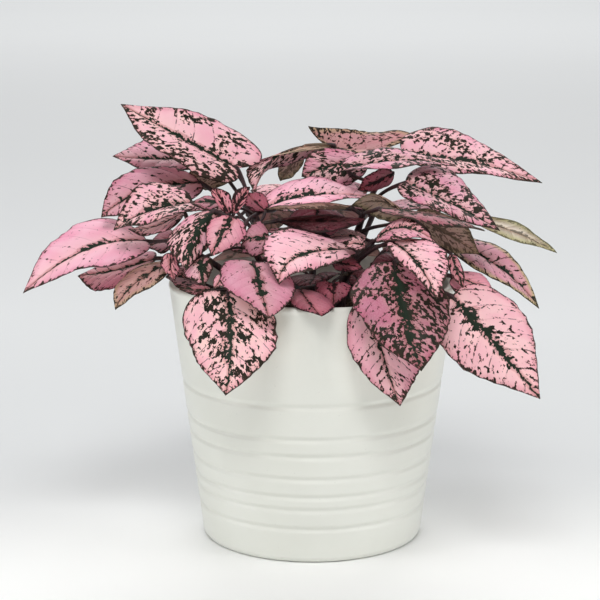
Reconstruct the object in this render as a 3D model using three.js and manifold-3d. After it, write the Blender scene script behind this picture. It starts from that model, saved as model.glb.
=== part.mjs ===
// A potted polka dot plant (Hypoestes phyllostachya) in a white ribbed cover pot.
// Millimetres, +Z up. The origin is the middle of the pot's flat base, and -Y is the plant's front.
import * as THREE from "three";
import { mergeVertices } from "three/addons/utils/BufferGeometryUtils.js";
import Module from "manifold-3d";

const wasm = await Module();
wasm.setup();

// Driving sizes
const potHeight = 118;
const potFootRadius = 49.9; // where the straight side would meet the ground
const potRimRadius = 65;
const potWall = 3.6;
const potFloor = 5;
const grooveHeights = [16, 25, 31, 39.5, 50, 58, 73]; // shallow rings round the lower part
const grooveDepth = 0.8;
const grooveHalfWidth = 2.2;
const roundSides = 28;

const fitGap = 0.3; // left between pieces that rest on each other
const growPotHeight = 100;
const growPotFootRadius = 41;
const growPotRimRadius = 56;
const growPotWall = 1.1;
const growPotRollHeight = 6; // the thicker band at its top edge
const growPotRollWidth = 2.4;
const drainHoles = 5;
const drainRadius = 4;
const drainCircle = 26;

const soilTop = 100;
const soilCrown = 1.5; // how much the soil rises in the middle
const stemFoot = 80; // the cut end of each cutting, under the soil
const stemBend = 102; // the stems stand straight up to here
const stemRadius = 1.7;
const stemTipRadius = 1.0;
const stalkRadius = 1.0;
const bladeThickness = 0.7;

const widestAt = 0.36; // where along the midrib a blade is widest
const baseFullness = 0.62; // lower is a rounder base
const tipFullness = baseFullness * (1 / widestAt - 1);

// Margin habits: how far the base lobes reach back, how deep the margin waves and how high each half
// puffs up, as shares of the blade's length, width and width.
const plain = { lobe: 0.16, wave: 0.03, puff: 0.08 };
const wide = { lobe: 0.34, wave: 0.04, puff: 0.08 };
const curly = { lobe: 0.16, wave: 0.12, puff: 0.08 };

// Each leafy stem leaves the soil at foot, bends through two handles and ends at its growing tip.
// Each leaf is [where its stalk leaves the stem, base, midrib at 45 %, tip, widest point on the left,
// widest point on the right, margin habit], with left and right as seen from above towards the tip.
const stems = {
  stem_front_left: {
    foot: [-14, -14], handles: [[-15, -16, 118], [-24, -28, 134]], tip: [-35, -38, 153],
    leaves: [
      [0.98, [-36, -38, 154], [-39, -36, 160], [-43, -34, 165], [-43, -32, 160], [-35, -40, 162]],
      [0.98, [-34, -38, 154], [-31, -36, 160], [-27, -32, 165], [-34, -38, 163], [-29, -34, 159]],
      [0.93, [-43, -36, 155], [-50, -44, 147], [-54, -46, 131], [-43, -40, 143], [-62, -34, 145]],
      [0.93, [-35, -40, 153], [-39, -48, 147], [-43, -52, 138], [-29, -46, 145], [-45, -44, 150]],
      [0.85, [-53, -14, 155], [-70, -23, 153], [-87, -28, 145], [-64, -33, 151], [-73, -13, 164]],
      [0.85, [-19, -12, 153], [3, -6, 157], [32, -4, 154], [-6, 8, 163], [0, -20, 156]],
      [0.70, [-19, -30, 141], [-25, -34, 143], [-31, -38, 140], [-25, -40, 136], [-24, -26, 149]],
      [0.70, [-46, -42, 136], [-48, -44, 131], [-46, -45, 124], [-43, -44, 131], [-56, -41, 130]],
      [0.40, [-25, -50, 135], [-22, -64, 127], [-18, -80, 117], [-7, -60, 127], [-39, -64, 132]],
      [0.50, [-37, -48, 130], [-39, -51, 128], [-42, -54, 124], [-36, -52, 127], [-42, -48, 128]],
      [0.30, [-36, -56, 123], [-34, -72, 107], [-36, -84, 85], [-14, -74, 110], [-55, -60, 109]],
      [0.30, [-43, -46, 122], [-49, -51, 123], [-57, -53, 124], [-50, -55, 122], [-50, -48, 125]],
      [0.80, [-21, -18, 152], [-25, -20, 156], [-29, -22, 161], [-29, -26, 155], [-21, -12, 158]],
    ],
  },
  stem_left: {
    foot: [-26, -2], handles: [[-28, -2, 116], [-40, -6, 124]], tip: [-60, -12, 137],
    leaves: [
      [1.00, [-74, -10, 137], [-98, -16, 135], [-128, -24, 116], [-90, -29, 130], [-105, 0, 144]],
      [0.95, [-62, -24, 134], [-62, -28, 129], [-60, -30, 123], [-58, -32, 130], [-67, -24, 130]],
      [0.90, [-57, -14, 151], [-68, -22, 146], [-81, -24, 145], [-66, -30, 144], [-70, -14, 147]],
      [0.90, [-61, 8, 135], [-67, 6, 134], [-75, 4, 132], [-67, -4, 131], [-68, 14, 138]],
      [0.75, [-71, 2, 127], [-88, 0, 122], [-106, -4, 120], [-90, -10, 115], [-86, 12, 127]],
      [0.75, [-63, -14, 128], [-77, -20, 121], [-87, -26, 109], [-72, -26, 119], [-83, -14, 123]],
      [0.20, [-48, -18, 119], [-56, -20, 122], [-65, -22, 123], [-56, -32, 120], [-56, -8, 126]],
    ],
  },
  stem_back_left: {
    foot: [-16, 6], handles: [[-18, 6, 120], [-22, 0, 138]], tip: [-29, 2, 156],
    leaves: [
      [0.97, [-34, 4, 168], [-58, -2, 182], [-85, -6, 198], [-61, -14, 173], [-39, 14, 187], wide],
      [0.97, [-36, 14, 165], [-47, 13, 164], [-58, 10, 163], [-47, 6, 170], [-46, 18, 156]],
      [0.60, [-49, 24, 170], [-69, 18, 170], [-91, 14, 172], [-65, 10, 165], [-70, 32, 178]],
      [0.55, [-51, 8, 161], [-74, -4, 159], [-94, -12, 148], [-66, -10, 152], [-80, 2, 168]],
      [0.80, [-40, -22, 156], [-46, -26, 157], [-53, -28, 157], [-45, -32, 155], [-46, -20, 159]],
      [0.70, [-15, -18, 148], [5, -22, 148], [24, -20, 149], [6, -12, 149], [5, -30, 145]],
    ],
  },
  stem_front: {
    foot: [6, -14], handles: [[8, -16, 114], [16, -24, 126]], tip: [26, -29, 140],
    leaves: [
      [0.99, [23, -34, 139], [19, -38, 141], [14, -40, 140], [19, -42, 139], [19, -34, 144]],
      [0.99, [24, -16, 139], [15, -20, 141], [6, -24, 140], [14, -26, 139], [16, -12, 143]],
      [0.97, [28, -33, 142], [38, -44, 149], [53, -54, 144], [38, -38, 152], [36, -56, 146]],
      [0.93, [17, -30, 137], [-5, -56, 139], [-14, -64, 128], [5, -58, 135], [-15, -46, 148]],
      [0.75, [34, -50, 144], [43, -66, 139], [51, -88, 127], [55, -66, 144], [37, -66, 138]],
      [0.80, [0, -14, 143], [-10, -18, 143], [-21, -22, 144], [-10, -24, 142], [-10, -12, 144]],
      [0.70, [9, -30, 131], [15, -34, 131], [22, -38, 130], [16, -28, 134], [14, -40, 129]],
      [0.60, [9, -44, 125], [9, -50, 122], [9, -56, 117], [17, -46, 123], [1, -46, 123]],
      [0.40, [-5, -48, 123], [-2, -63, 121], [4, -71, 116], [9, -64, 120], [-10, -60, 120]],
    ],
  },
  stem_front_right: {
    foot: [20, -10], handles: [[22, -12, 114], [36, -24, 126]], tip: [52, -33, 142],
    leaves: [
      [0.98, [45, -14, 150], [58, -17, 143], [74, -20, 133], [53, -8, 135], [62, -26, 151]],
      [0.95, [60, -40, 137], [62, -43, 131], [65, -46, 123], [65, -42, 131], [59, -42, 130]],
      [0.75, [35, -50, 135], [38, -76, 119], [45, -90, 97], [57, -72, 121], [17, -74, 122]],
      [0.70, [61, -34, 126], [71, -38, 123], [81, -42, 115], [73, -28, 126], [66, -46, 118]],
      [0.55, [60, -48, 120], [75, -60, 105], [97, -66, 79], [88, -50, 116], [57, -62, 98]],
      [0.30, [25, -64, 122], [29, -72, 103], [37, -78, 79], [44, -75, 103], [15, -68, 103]],
      [0.12, [23, -13, 118], [19, -10, 121], [15, -6, 124], [18, -15, 117], [23, -4, 124]],
    ],
  },
  stem_right: {
    foot: [26, 4], handles: [[28, 4, 116], [44, -2, 130]], tip: [60, -8, 147],
    leaves: [
      [0.98, [68, -10, 149], [89, -16, 143], [108, -22, 134], [85, -14, 140], [89, -18, 147], curly],
      [0.95, [62, 4, 134], [81, -17, 128], [100, -27, 110], [84, -8, 134], [75, -26, 126]],
      [0.15, [27, 0, 125], [33, -4, 131], [41, -10, 128], [37, 4, 134], [32, -12, 127]],
    ],
  },
  stem_back_right: {
    foot: [12, 8], handles: [[13, 9, 120], [21, 11, 140]], tip: [29, 8, 160],
    leaves: [
      [0.80, [41, -14, 164], [57, -24, 158], [81, -40, 147], [61, -6, 168], [47, -34, 157]],
      [0.97, [16, 0, 168], [39, -4, 172], [64, -11, 171], [28, 10, 176], [32, -16, 171]],
      [0.95, [36, -3, 167], [29, -5, 164], [20, -8, 160], [31, 0, 159], [27, -11, 169]],
      [0.90, [42, 20, 172], [68, 14, 170], [104, 6, 161], [61, 30, 183], [64, 4, 166]],
      [0.65, [29, -35, 156], [51, -40, 154], [74, -46, 148], [49, -30, 152], [48, -48, 152]],
      [0.65, [17, -20, 154], [-2, -28, 155], [-20, -30, 155], [-1, -34, 158], [-1, -18, 153]],
      [0.60, [42, -4, 148], [32, -10, 155], [17, -16, 154], [29, -20, 159], [30, -5, 147]],
    ],
  },
  stem_middle: {
    foot: [0, 18], handles: [[0, 19, 120], [0, 25, 145]], tip: [4, 29, 167],
    leaves: [
      [0.98, [24, 20, 170], [10, 15, 168], [-5, 12, 163], [15, 12, 159], [3, 16, 175]],
      [0.98, [10, 22, 176], [-13, 16, 174], [-26, 6, 156], [-13, 24, 167], [-23, 12, 171]],
      [0.95, [35, 36, 173], [14, 34, 172], [-2, 30, 184], [18, 28, 172], [34, 44, 180], wide],
      [0.93, [-6, 36, 171], [-10, 34, 165], [-15, 32, 158], [-15, 26, 168], [-6, 40, 162]],
      [0.75, [-10, 34, 150], [-18, 46, 154], [-28, 64, 148], [-27, 37, 151], [-6, 52, 150]],
      [0.75, [8, 38, 152], [16, 52, 155], [26, 70, 146], [3, 56, 151], [25, 43, 151]],
      [0.70, [2, 14, 148], [2, 5, 141], [4, -4, 127], [16, 7, 142], [-12, 7, 142]],
      [0.15, [2, 6, 118], [1, -4, 120], [-2, -16, 116], [14, -3, 121], [-14, -4, 118]],
      [0.20, [-9, 8, 122], [-16, 1, 123], [-23, -6, 121], [-16, -5, 118], [-14, 6, 127]],
    ],
  },
  stem_rear_left: {
    foot: [-14, 24], handles: [[-16, 27, 116], [-24, 36, 130]], tip: [-33, 43, 147],
    leaves: [
      [0.97, [-34, 36, 146], [-48, 40, 148], [-66, 46, 142], [-49, 26, 144], [-41, 52, 145]],
      [0.90, [-36, 48, 138], [-50, 64, 136], [-66, 86, 122], [-59, 51, 134], [-38, 68, 133]],
      [0.85, [-18, 54, 141], [-20, 75, 139], [-20, 98, 121], [-33, 71, 137], [-6, 73, 137]],
      [0.50, [-34, 48, 124], [-42, 64, 112], [-48, 74, 94], [-53, 52, 113], [-28, 70, 113]],
      [0.30, [-22, 28, 122], [-34, 22, 130], [-47, 16, 130], [-33, 12, 128], [-37, 33, 128]],
      [0.50, [-12, 50, 130], [-12, 70, 119], [-10, 84, 99], [-26, 65, 119], [2, 69, 119]],
    ],
  },
  stem_rear_right: {
    foot: [14, 26], handles: [[16, 29, 116], [24, 37, 130]], tip: [31, 40, 147],
    leaves: [
      [0.97, [34, 34, 146], [50, 40, 148], [70, 44, 140], [43, 52, 144], [50, 26, 145]],
      [0.90, [30, 46, 140], [46, 60, 138], [64, 78, 122], [33, 68, 135], [53, 47, 134]],
      [0.85, [14, 54, 142], [14, 76, 138], [12, 100, 120], [0, 72, 135], [28, 71, 136]],
      [0.50, [38, 44, 126], [50, 58, 114], [58, 68, 96], [38, 66, 114], [59, 46, 115]],
      [0.30, [13, 36, 122], [4, 41, 130], [-8, 44, 132], [5, 32, 133], [6, 50, 128]],
      [0.50, [16, 52, 129], [20, 72, 117], [28, 84, 98], [7, 72, 117], [33, 66, 117]],
    ],
  },
};

// Counts of straight pieces
const stemSides = 6;
const holeSides = 8;
const shortLeaf = 24; // blades shorter than this are drawn with fewer pieces
const stalkRows = [0.9, 0.45, 0]; // from the blade back to the stem
const longRows = [0.004, 0.12, 0.29, 0.5, 0.75, 0.985];
const shortRows = [0.004, 0.16, 0.42, 0.72, 0.985];
const longCells = 4;
const shortCells = 2;

const vector = (p) => new THREE.Vector3(p[0], p[1], p[2]);
const between = (a, b) => b.clone().sub(a);
const crossed = (a, b) => new THREE.Vector3().crossVectors(a, b).normalize();

// One leaf blade. u runs from 0 at the base to 1 at the tip, t from -1 at the left margin to 1 at the
// right one. Each half is its own gently puffed sheet, folded along the midrib.
class Blade {
  constructor([, base, middle, tip, left, right, habit = plain], index) {
    this.base = vector(base);
    this.middle = vector(middle);
    this.tip = vector(tip);
    this.habit = habit;
    this.phase = 0.61 * index; // neighbours wave differently
    const centre = this.midrib(widestAt);
    this.toLeft = between(centre, vector(left));
    this.toRight = between(centre, vector(right));
    this.along = between(this.base, this.middle).normalize();
    this.leftUp = crossed(this.along, this.toLeft);
    this.rightUp = crossed(this.toRight, this.along);
    this.length = this.base.distanceTo(this.middle) + this.middle.distanceTo(this.tip);
    this.width = this.toLeft.length() + this.toRight.length();
  }

  // The midrib is the parabola through base, middle and tip.
  midrib(u) {
    const m = 0.45;
    return new THREE.Vector3()
      .addScaledVector(this.base, ((u - m) * (u - 1)) / m)
      .addScaledVector(this.middle, (u * (u - 1)) / (m * (m - 1)))
      .addScaledVector(this.tip, (u * (u - m)) / (1 - m));
  }

  surface(u, t) {
    const k = Math.abs(t);
    const side = t < 0 ? this.toLeft : this.toRight;
    const up = t < 0 ? this.leftUp : this.rightUp;
    const { lobe, wave, puff } = this.habit;
    const reach = (u / widestAt) ** baseFullness * ((1 - u) / (1 - widestAt)) ** tipFullness;
    const turn = 2 * Math.PI * (1.6 * u + this.phase + (t < 0 ? 0.35 : 0));
    const puffed = puff * this.width * reach * 2 * k * (1 - k);
    const waved = wave * this.width * Math.sin(turn) * k ** 3 * Math.min(1, 1.3 * reach);
    return this.midrib(u)
      .addScaledVector(side, k * reach)
      .addScaledVector(up, puffed + waved)
      .addScaledVector(this.along, -lobe * this.length * reach * (1 - u) ** 5 * k * k);
  }

  facing(u, t) {
    const du = 0.01;
    const dt = 0.05;
    const ahead = between(this.surface(Math.max(0.001, u - du), t), this.surface(Math.min(0.999, u + du), t));
    const across = between(this.surface(u, Math.max(-1, t - dt)), this.surface(u, Math.min(1, t + dt)));
    return crossed(across, ahead);
  }

  // The stalk and the blade share one skin: round sections along the stalk, flat ones along the blade.
  solid(stalk) {
    const short = this.length < shortLeaf;
    const rows = short ? shortRows : longRows;
    const cells = short ? shortCells : longCells;
    const radius = short ? 0.8 * stalkRadius : stalkRadius;
    const columns = cells + 1;
    const upper = [];
    const lower = [];
    let side = between(this.toLeft, this.toRight);
    for (const s of stalkRows) {
      const middle = stalk.getPoint(s);
      const ahead = stalk.getTangent(s);
      side = side.clone().addScaledVector(ahead, -side.dot(ahead)).normalize();
      const up = crossed(side, ahead);
      for (let j = cells; j >= 0; j--) {
        const turn = Math.PI * (1 - (j + 0.5) / columns);
        const across = middle.clone().addScaledVector(side, radius * Math.cos(turn));
        upper.unshift(across.clone().addScaledVector(up, radius * Math.sin(turn)));
        lower.unshift(across.clone().addScaledVector(up, -radius * Math.sin(turn)));
      }
    }
    for (const u of rows) {
      for (let j = 0; j < columns; j++) {
        const t = -1 + (2 * j) / cells;
        const p = this.surface(u, t);
        const n = this.facing(u, t).multiplyScalar(bladeThickness / 2);
        upper.push(p.clone().add(n));
        lower.push(p.clone().sub(n));
      }
    }
    const under = upper.length;
    const faces = [];
    // Both faces are split alike, and the splits mirror across the midrib.
    const sheet = (a, b, c, d) => {
      faces.push([a, b, c], [a, c, d], [under + a, under + c, under + b], [under + a, under + d, under + c]);
    };
    const edge = (a, b) => faces.push([a, b, under + b], [a, under + b, under + a]);
    const sections = stalkRows.length + rows.length;
    for (let i = 0; i < sections - 1; i++) {
      for (let j = 0; j < cells; j++) {
        const a = i * columns + j;
        const b = a + 1;
        const c = b + columns;
        const d = a + columns;
        if (j < cells / 2) sheet(a, b, c, d);
        else sheet(b, c, d, a);
      }
      edge(i * columns, (i + 1) * columns);
      edge((i + 1) * columns + cells, i * columns + cells);
    }
    const last = (sections - 1) * columns;
    for (let j = 0; j < cells; j++) {
      edge(j + 1, j);
      edge(last + j, last + j + 1);
    }
    return solidOf([...upper, ...lower], faces);
  }
}

function solidOf(corners, faces) {
  return new wasm.Manifold(
    new wasm.Mesh({
      numProp: 3,
      vertProperties: new Float32Array(corners.flatMap((p) => [p.x, p.y, p.z])),
      triVerts: new Uint32Array(faces.flat()),
    }),
  );
}

// A round tapering shoot through the given points.
function shoot(points, radii, sides) {
  const corners = [];
  const faces = [];
  let across = new THREE.Vector3(0.3, 1, 0.1);
  points.forEach((p, i) => {
    const ahead = points[Math.min(i + 1, points.length - 1)];
    const behind = points[Math.max(i - 1, 0)];
    const along = between(behind, ahead).normalize();
    across = across.clone().addScaledVector(along, -across.dot(along)).normalize();
    const other = crossed(along, across);
    for (let k = 0; k < sides; k++) {
      const turn = (2 * Math.PI * k) / sides;
      corners.push(
        p.clone()
          .addScaledVector(across, radii[i] * Math.cos(turn))
          .addScaledVector(other, radii[i] * Math.sin(turn)),
      );
    }
  });
  const last = (points.length - 1) * sides;
  for (let i = 0; i < last; i += sides) {
    for (let k = 0; k < sides; k++) {
      const next = (k + 1) % sides;
      faces.push([i + k, i + next, i + sides + next], [i + k, i + sides + next, i + sides + k]);
    }
  }
  for (let k = 1; k < sides - 1; k++) {
    faces.push([0, k + 1, k], [last, last + k, last + k + 1]);
  }
  return solidOf(corners, faces);
}

// A stem, its leaf stalks and its blades, grown together.
function leafyStem({ foot, handles, tip, leaves }, firstIndex) {
  const start = new THREE.Vector3(foot[0], foot[1], stemBend);
  const curve = new THREE.CubicBezierCurve3(start, vector(handles[0]), vector(handles[1]), vector(tip));
  const steps = [0.2, 0.4, 0.6, 0.8, 0.93, 1];
  const thin = (s) => stemRadius + (stemTipRadius - stemRadius) * s ** 2;
  let grown = shoot(
    [new THREE.Vector3(foot[0], foot[1], stemFoot), start, ...steps.map((s) => curve.getPoint(s))],
    [stemRadius, stemRadius, ...steps.map(thin)],
    stemSides,
  );
  leaves.forEach((row, k) => {
    const blade = new Blade(row, firstIndex + k);
    const from = curve.getPoint(row[0]);
    const span = between(from, blade.base);
    const reach = 0.35 * span.length();
    span.normalize();
    // The stalk forks forwards off the stem and comes up to the blade from below.
    const fork = span.clone().addScaledVector(curve.getTangent(row[0]), 0.75).normalize();
    const rise = span.clone().negate().addScaledVector(blade.along, -0.6);
    rise.z -= 0.15;
    const stalk = new THREE.CubicBezierCurve3(
      from,
      from.clone().addScaledVector(fork, reach),
      blade.base.clone().addScaledVector(rise.normalize(), reach),
      blade.base,
    );
    grown = grown.add(blade.solid(stalk));
  });
  return grown;
}

// A turned solid from its profile of [radius, height] pairs, which starts and ends on the axis.
function turned(profile, sides) {
  const lathe = new THREE.LatheGeometry(profile.map(([r, z]) => new THREE.Vector2(r, z)), sides);
  lathe.rotateX(Math.PI / 2);
  lathe.deleteAttribute("normal");
  lathe.deleteAttribute("uv");
  const merged = mergeVertices(lathe);
  const index = merged.index.array;
  const faces = [];
  for (let i = 0; i < index.length; i += 3) {
    const [a, b, c] = index.slice(i, i + 3);
    if (a !== b && b !== c && c !== a) faces.push([a, b, c]);
  }
  const spots = merged.getAttribute("position");
  const corners = Array.from({ length: spots.count }, (_, i) => new THREE.Vector3().fromBufferAttribute(spots, i));
  return solidOf(corners, faces);
}

function post(x, y, radius, from, to, sides) {
  return turned([[0, from], [radius, from], [radius, to], [0, to]], sides).translate([x, y, 0]);
}

// The cover pot: outside from the foot up, over the rounded lip and down the inside
const sideRadius = (z) => potFootRadius + ((potRimRadius - potFootRadius) * z) / potHeight;
const outside = grooveHeights.flatMap((z) => [
  [sideRadius(z - grooveHalfWidth), z - grooveHalfWidth],
  [sideRadius(z) - grooveDepth, z],
  [sideRadius(z + grooveHalfWidth), z + grooveHalfWidth],
]);
const lip = potWall / 2;
const lipTop = potHeight - lip;
const lipMiddle = potRimRadius - lip;
const lipArc = [0, 45, 90, 135, 180].map((degrees) => {
  const turn = THREE.MathUtils.degToRad(degrees);
  return [lipMiddle + lip * Math.cos(turn), lipTop + lip * Math.sin(turn)];
});
const pot = turned(
  [
    [0, 0],
    [potFootRadius - 2.4, 0],
    [potFootRadius - 0.6, 0.7],
    [sideRadius(2.6), 2.6],
    ...outside,
    ...lipArc,
    [sideRadius(potFloor + 6) - potWall, potFloor + 6],
    [sideRadius(potFloor + 1) - potWall - 1.6, potFloor + 1.6],
    [sideRadius(potFloor) - potWall - 5, potFloor],
    [0, potFloor],
  ],
  roundSides,
);

// The growing pot stands on its floor
const growPotFoot = potFloor + fitGap;
const growPotTop = growPotFoot + growPotHeight;
const growPotFlare = (growPotRimRadius - growPotRollWidth - growPotFootRadius) / growPotHeight;
const growPotOutside = (z) => growPotFootRadius + growPotFlare * (z - growPotFoot);
const growPotInside = (z) => growPotOutside(z) - growPotWall;
const growPotFloorTop = growPotFoot + growPotWall;
let growPot = turned(
  [
    [0, growPotFoot],
    [growPotFootRadius - 1, growPotFoot],
    [growPotOutside(growPotFoot + 1.5), growPotFoot + 1.5],
    [growPotOutside(growPotTop - growPotRollHeight), growPotTop - growPotRollHeight],
    [growPotRimRadius, growPotTop - growPotRollHeight + 0.8],
    [growPotRimRadius, growPotTop],
    [growPotInside(growPotTop), growPotTop],
    [growPotInside(growPotFloorTop), growPotFloorTop],
    [0, growPotFloorTop],
  ],
  roundSides,
);
for (let i = 0; i < drainHoles; i++) {
  const turn = (2 * Math.PI * i) / drainHoles;
  const hole = post(
    drainCircle * Math.cos(turn),
    drainCircle * Math.sin(turn),
    drainRadius,
    growPotFoot - 1,
    growPotFloorTop + 1,
    holeSides,
  );
  growPot = growPot.subtract(hole);
}

// The soil fills the growing pot and has a plain hole for each stem
const soilFoot = growPotFloorTop + fitGap;
let soil = turned(
  [
    [0, soilFoot],
    [growPotInside(soilFoot) - fitGap, soilFoot],
    [growPotInside(soilTop) - fitGap, soilTop],
    [0.5 * growPotInside(soilTop), soilTop + 0.75 * soilCrown],
    [0, soilTop + soilCrown],
  ],
  roundSides,
);
const holeRadius = (stemRadius + fitGap) / Math.cos(Math.PI / holeSides);
for (const { foot } of Object.values(stems)) {
  soil = soil.subtract(post(foot[0], foot[1], holeRadius, stemFoot - fitGap, soilTop + 5, holeSides));
}

const group = new THREE.Group();

function place(name, solid, color, roughness) {
  const made = solid.getMesh();
  const geometry = new THREE.BufferGeometry();
  geometry.setAttribute("position", new THREE.BufferAttribute(made.vertProperties, 3));
  geometry.setIndex(new THREE.BufferAttribute(made.triVerts, 1));
  geometry.computeVertexNormals();
  const material = new THREE.MeshStandardMaterial({ color, roughness, metalness: 0 });
  const mesh = new THREE.Mesh(geometry, material);
  mesh.name = name;
  group.add(mesh);
}

place("pot", pot, 0xdde2da, 0.35);
place("nursery_pot", growPot, 0x1d1d1f, 0.55);
place("soil", soil, 0x35251b, 1);
let leafCount = 0;
for (const [name, stem] of Object.entries(stems)) {
  place(name, leafyStem(stem, leafCount), 0xe392b0, 0.55);
  leafCount += stem.leaves.length;
}

export default group;
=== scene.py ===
# Polka dot plant in its ribbed white pot: leaves, stalks, glaze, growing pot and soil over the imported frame
import itertools
import math
import random
import bpy
import bmesh
from mathutils import Matrix, Vector, noise


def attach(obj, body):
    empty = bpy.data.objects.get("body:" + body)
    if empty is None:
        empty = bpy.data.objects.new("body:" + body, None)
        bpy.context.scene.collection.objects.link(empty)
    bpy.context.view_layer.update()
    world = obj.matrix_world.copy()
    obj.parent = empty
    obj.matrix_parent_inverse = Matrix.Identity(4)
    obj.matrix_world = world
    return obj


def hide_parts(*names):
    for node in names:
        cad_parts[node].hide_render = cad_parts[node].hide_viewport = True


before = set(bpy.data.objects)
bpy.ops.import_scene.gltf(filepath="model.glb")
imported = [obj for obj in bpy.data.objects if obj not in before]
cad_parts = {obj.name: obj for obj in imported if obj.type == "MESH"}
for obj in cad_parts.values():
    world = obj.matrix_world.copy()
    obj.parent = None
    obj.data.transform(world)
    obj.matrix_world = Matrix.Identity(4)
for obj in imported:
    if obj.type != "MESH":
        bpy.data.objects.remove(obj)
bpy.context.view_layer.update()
scene = bpy.context.scene
mm = 0.001      # every size below is in mm, except the studio's


class Wire:
    # one output socket, so that maths on it reads like maths
    def __init__(self, paint, socket):
        self.paint = paint
        self.socket = socket

    def math(self, kind, *others):
        return self.paint.add("ShaderNodeMath", {"operation": kind}, dict(enumerate((self,) + others)))

    def __add__(self, other):
        return self.math("ADD", other)

    def __sub__(self, other):
        return self.math("SUBTRACT", other)

    def __mul__(self, other):
        return self.math("MULTIPLY", other)

    def __rsub__(self, other):
        return self.math("MULTIPLY", -1.0).math("ADD", other)

    __radd__ = __add__
    __rmul__ = __mul__

    def step(self, low, high, start=0.0, end=1.0):
        # smooth rise from start to end while the value goes from low to high
        return self.paint.add("ShaderNodeMapRange", {"interpolation_type": "SMOOTHSTEP"}, {
            "Value": self, "From Min": low, "From Max": high, "To Min": start, "To Max": end})


class Paint:
    # a material with one Principled shader
    def __init__(self, name, **fixed):
        self.material = bpy.data.materials.new(name)
        self.material.use_nodes = True
        self.tree = self.material.node_tree
        self.skin = self.tree.nodes["Principled BSDF"]
        for socket, value in fixed.items():
            self.skin.inputs[socket.replace("_", " ")].default_value = value

    def add(self, kind, settings, inputs, output=0):
        node = self.tree.nodes.new(kind)
        for key, value in settings.items():
            setattr(node, key, value)
        for key, value in inputs.items():
            if isinstance(value, Wire):
                self.tree.links.new(value.socket, node.inputs[key])
            else:
                node.inputs[key].default_value = value
        return Wire(self, node.outputs[output])

    def attribute(self, name):
        # the three numbers that the vertices carry under this name
        carried = self.add("ShaderNodeAttribute", {"attribute_name": name}, {}, "Vector")
        spread = self.add("ShaderNodeSeparateXYZ", {}, {0: carried}).socket.node
        return [Wire(self, output) for output in spread.outputs]

    def place(self):
        return self.add("ShaderNodeTexCoord", {}, {}, "Object")

    def vector(self, x, y, z):
        return self.add("ShaderNodeCombineXYZ", {}, {0: x, 1: y, 2: z})

    def noise(self, vector, scale, detail=2.0, rough=0.5, distortion=0.0):
        return self.add("ShaderNodeTexNoise", {}, {
            "Vector": vector, "Scale": scale, "Detail": detail, "Roughness": rough, "Distortion": distortion})

    def mix(self, factor, a, b, blend="MIX"):
        a, b = [c if isinstance(c, Wire) else (*c, 1.0) for c in (a, b)]
        settings = {"data_type": "RGBA", "blend_type": blend}
        return self.add("ShaderNodeMix", settings, {0: factor, 6: a, 7: b}, 2)

    def bump(self, height, strength, distance):
        return self.add("ShaderNodeBump", {}, {"Height": height, "Strength": strength, "Distance": distance})

    def finish(self, **sockets):
        for socket, wire in sockets.items():
            self.tree.links.new(wire.socket, self.skin.inputs[socket.replace("_", " ")])
        return self.material


def settle(bm, name, materials, node):
    # the finished mesh as an object that takes the place of a solid of the frame
    mesh = bpy.data.meshes.new(name)
    bm.to_mesh(mesh)
    bm.free()
    mesh.shade_smooth()
    for material in materials:
        mesh.materials.append(material)
    obj = bpy.data.objects.new(name, mesh)
    scene.collection.objects.link(obj)
    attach(obj, "root")
    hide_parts(node)


view = dict(away=0.901, height=0.296, down=11.77, turn=0.354, lens=121.6, farthest=60)      # metres, degrees


def setCamera():
    cameraData = bpy.data.cameras.new("camera")
    cameraData.lens = view["lens"]
    cameraData.clip_end = view["farthest"]
    camera = bpy.data.objects.new("camera", cameraData)
    camera.location = (0, -view["away"], view["height"])
    camera.rotation_euler = (math.radians(90 - view["down"]), 0, math.radians(view["turn"]))
    scene.collection.objects.link(camera)
    scene.camera = camera
    scene.view_settings.view_transform = "Standard"


# the paper's tones as it goes back: from which depth to which, in metres, and the tone it reaches there; a
# painted shadow band just behind the pot, then lighter, and darker again far back
paperSweep = dict(
    half=14, front=(0.96, 0.965, 0.95), cloud=(0.72, 0.73, 0.74), cloudiness=0.1, cloudScale=3.0,
    tones=((-0.1, 0.12, (0.75, 0.765, 0.77)), (0.16, 0.5, (0.835, 0.85, 0.855)),
           (0.8, 2.0, (0.88, 0.895, 0.90)), (2.6, 4.0, (0.80, 0.815, 0.82))))


def layPaper():
    bm = bmesh.new()
    bmesh.ops.create_grid(bm, x_segments=2, y_segments=2, size=paperSweep["half"])
    paperMesh = bpy.data.meshes.new("floor")
    bm.to_mesh(paperMesh)
    bm.free()
    floor = bpy.data.objects.new("floor", paperMesh)
    scene.collection.objects.link(floor)
    paint = Paint("floor", Roughness=0.6, Specular_IOR_Level=0.2)
    spot = paint.place()
    cloud = paint.noise(spot, paperSweep["cloudScale"], 2.0)
    depth = paint.add("ShaderNodeSeparateXYZ", {}, {0: spot}, 1)
    paper = paperSweep["front"]
    # painted shade: the first band darkens the paper just behind the pot, a painted shadow of the pot and
    # plant
    for near, far, tone in paperSweep["tones"]:
        paper = paint.mix(depth.step(near, far), paper, tone)
    paperMesh.materials.append(paint.finish(
        Base_Color=paint.mix(cloud * paperSweep["cloudiness"], paper, paperSweep["cloud"]),
        Normal=paint.bump(paint.noise(spot, 400.0, 2.0), 0.03, 0.0005)))


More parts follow.
